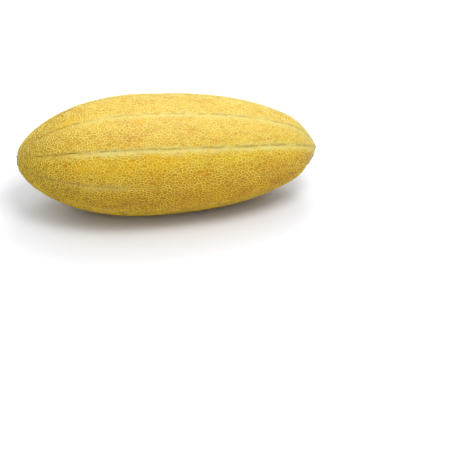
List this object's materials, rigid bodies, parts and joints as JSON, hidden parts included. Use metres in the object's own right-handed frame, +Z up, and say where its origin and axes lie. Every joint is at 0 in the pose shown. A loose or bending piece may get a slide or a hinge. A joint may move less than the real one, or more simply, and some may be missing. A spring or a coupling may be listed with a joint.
{
  "type": "muskmelon",
  "caption": "Whole long netted muskmelon lying on its side, egg-shaped with shallow sutures, a raised net over its ribs and a corky scar at each end.",
  "frame": {"origin": "on the ground plane, under the middle of the fruit's bounding box", "axes": "+Z up; the long axis lies along X, with the blossom end at -X and the more pointed stem end at +X; the side that the picture shows faces -Y"},
  "size_m": [0.3298, 0.1318, 0.1325],
  "materials": {
    "netted_skin": "golden-yellow skin under a pale corky net, satin between the strands and dull on them, with dull green sutures"
  },
  "bodies": {
    "root": {"melon": "netted_skin"}
  },
  "joints": []
}
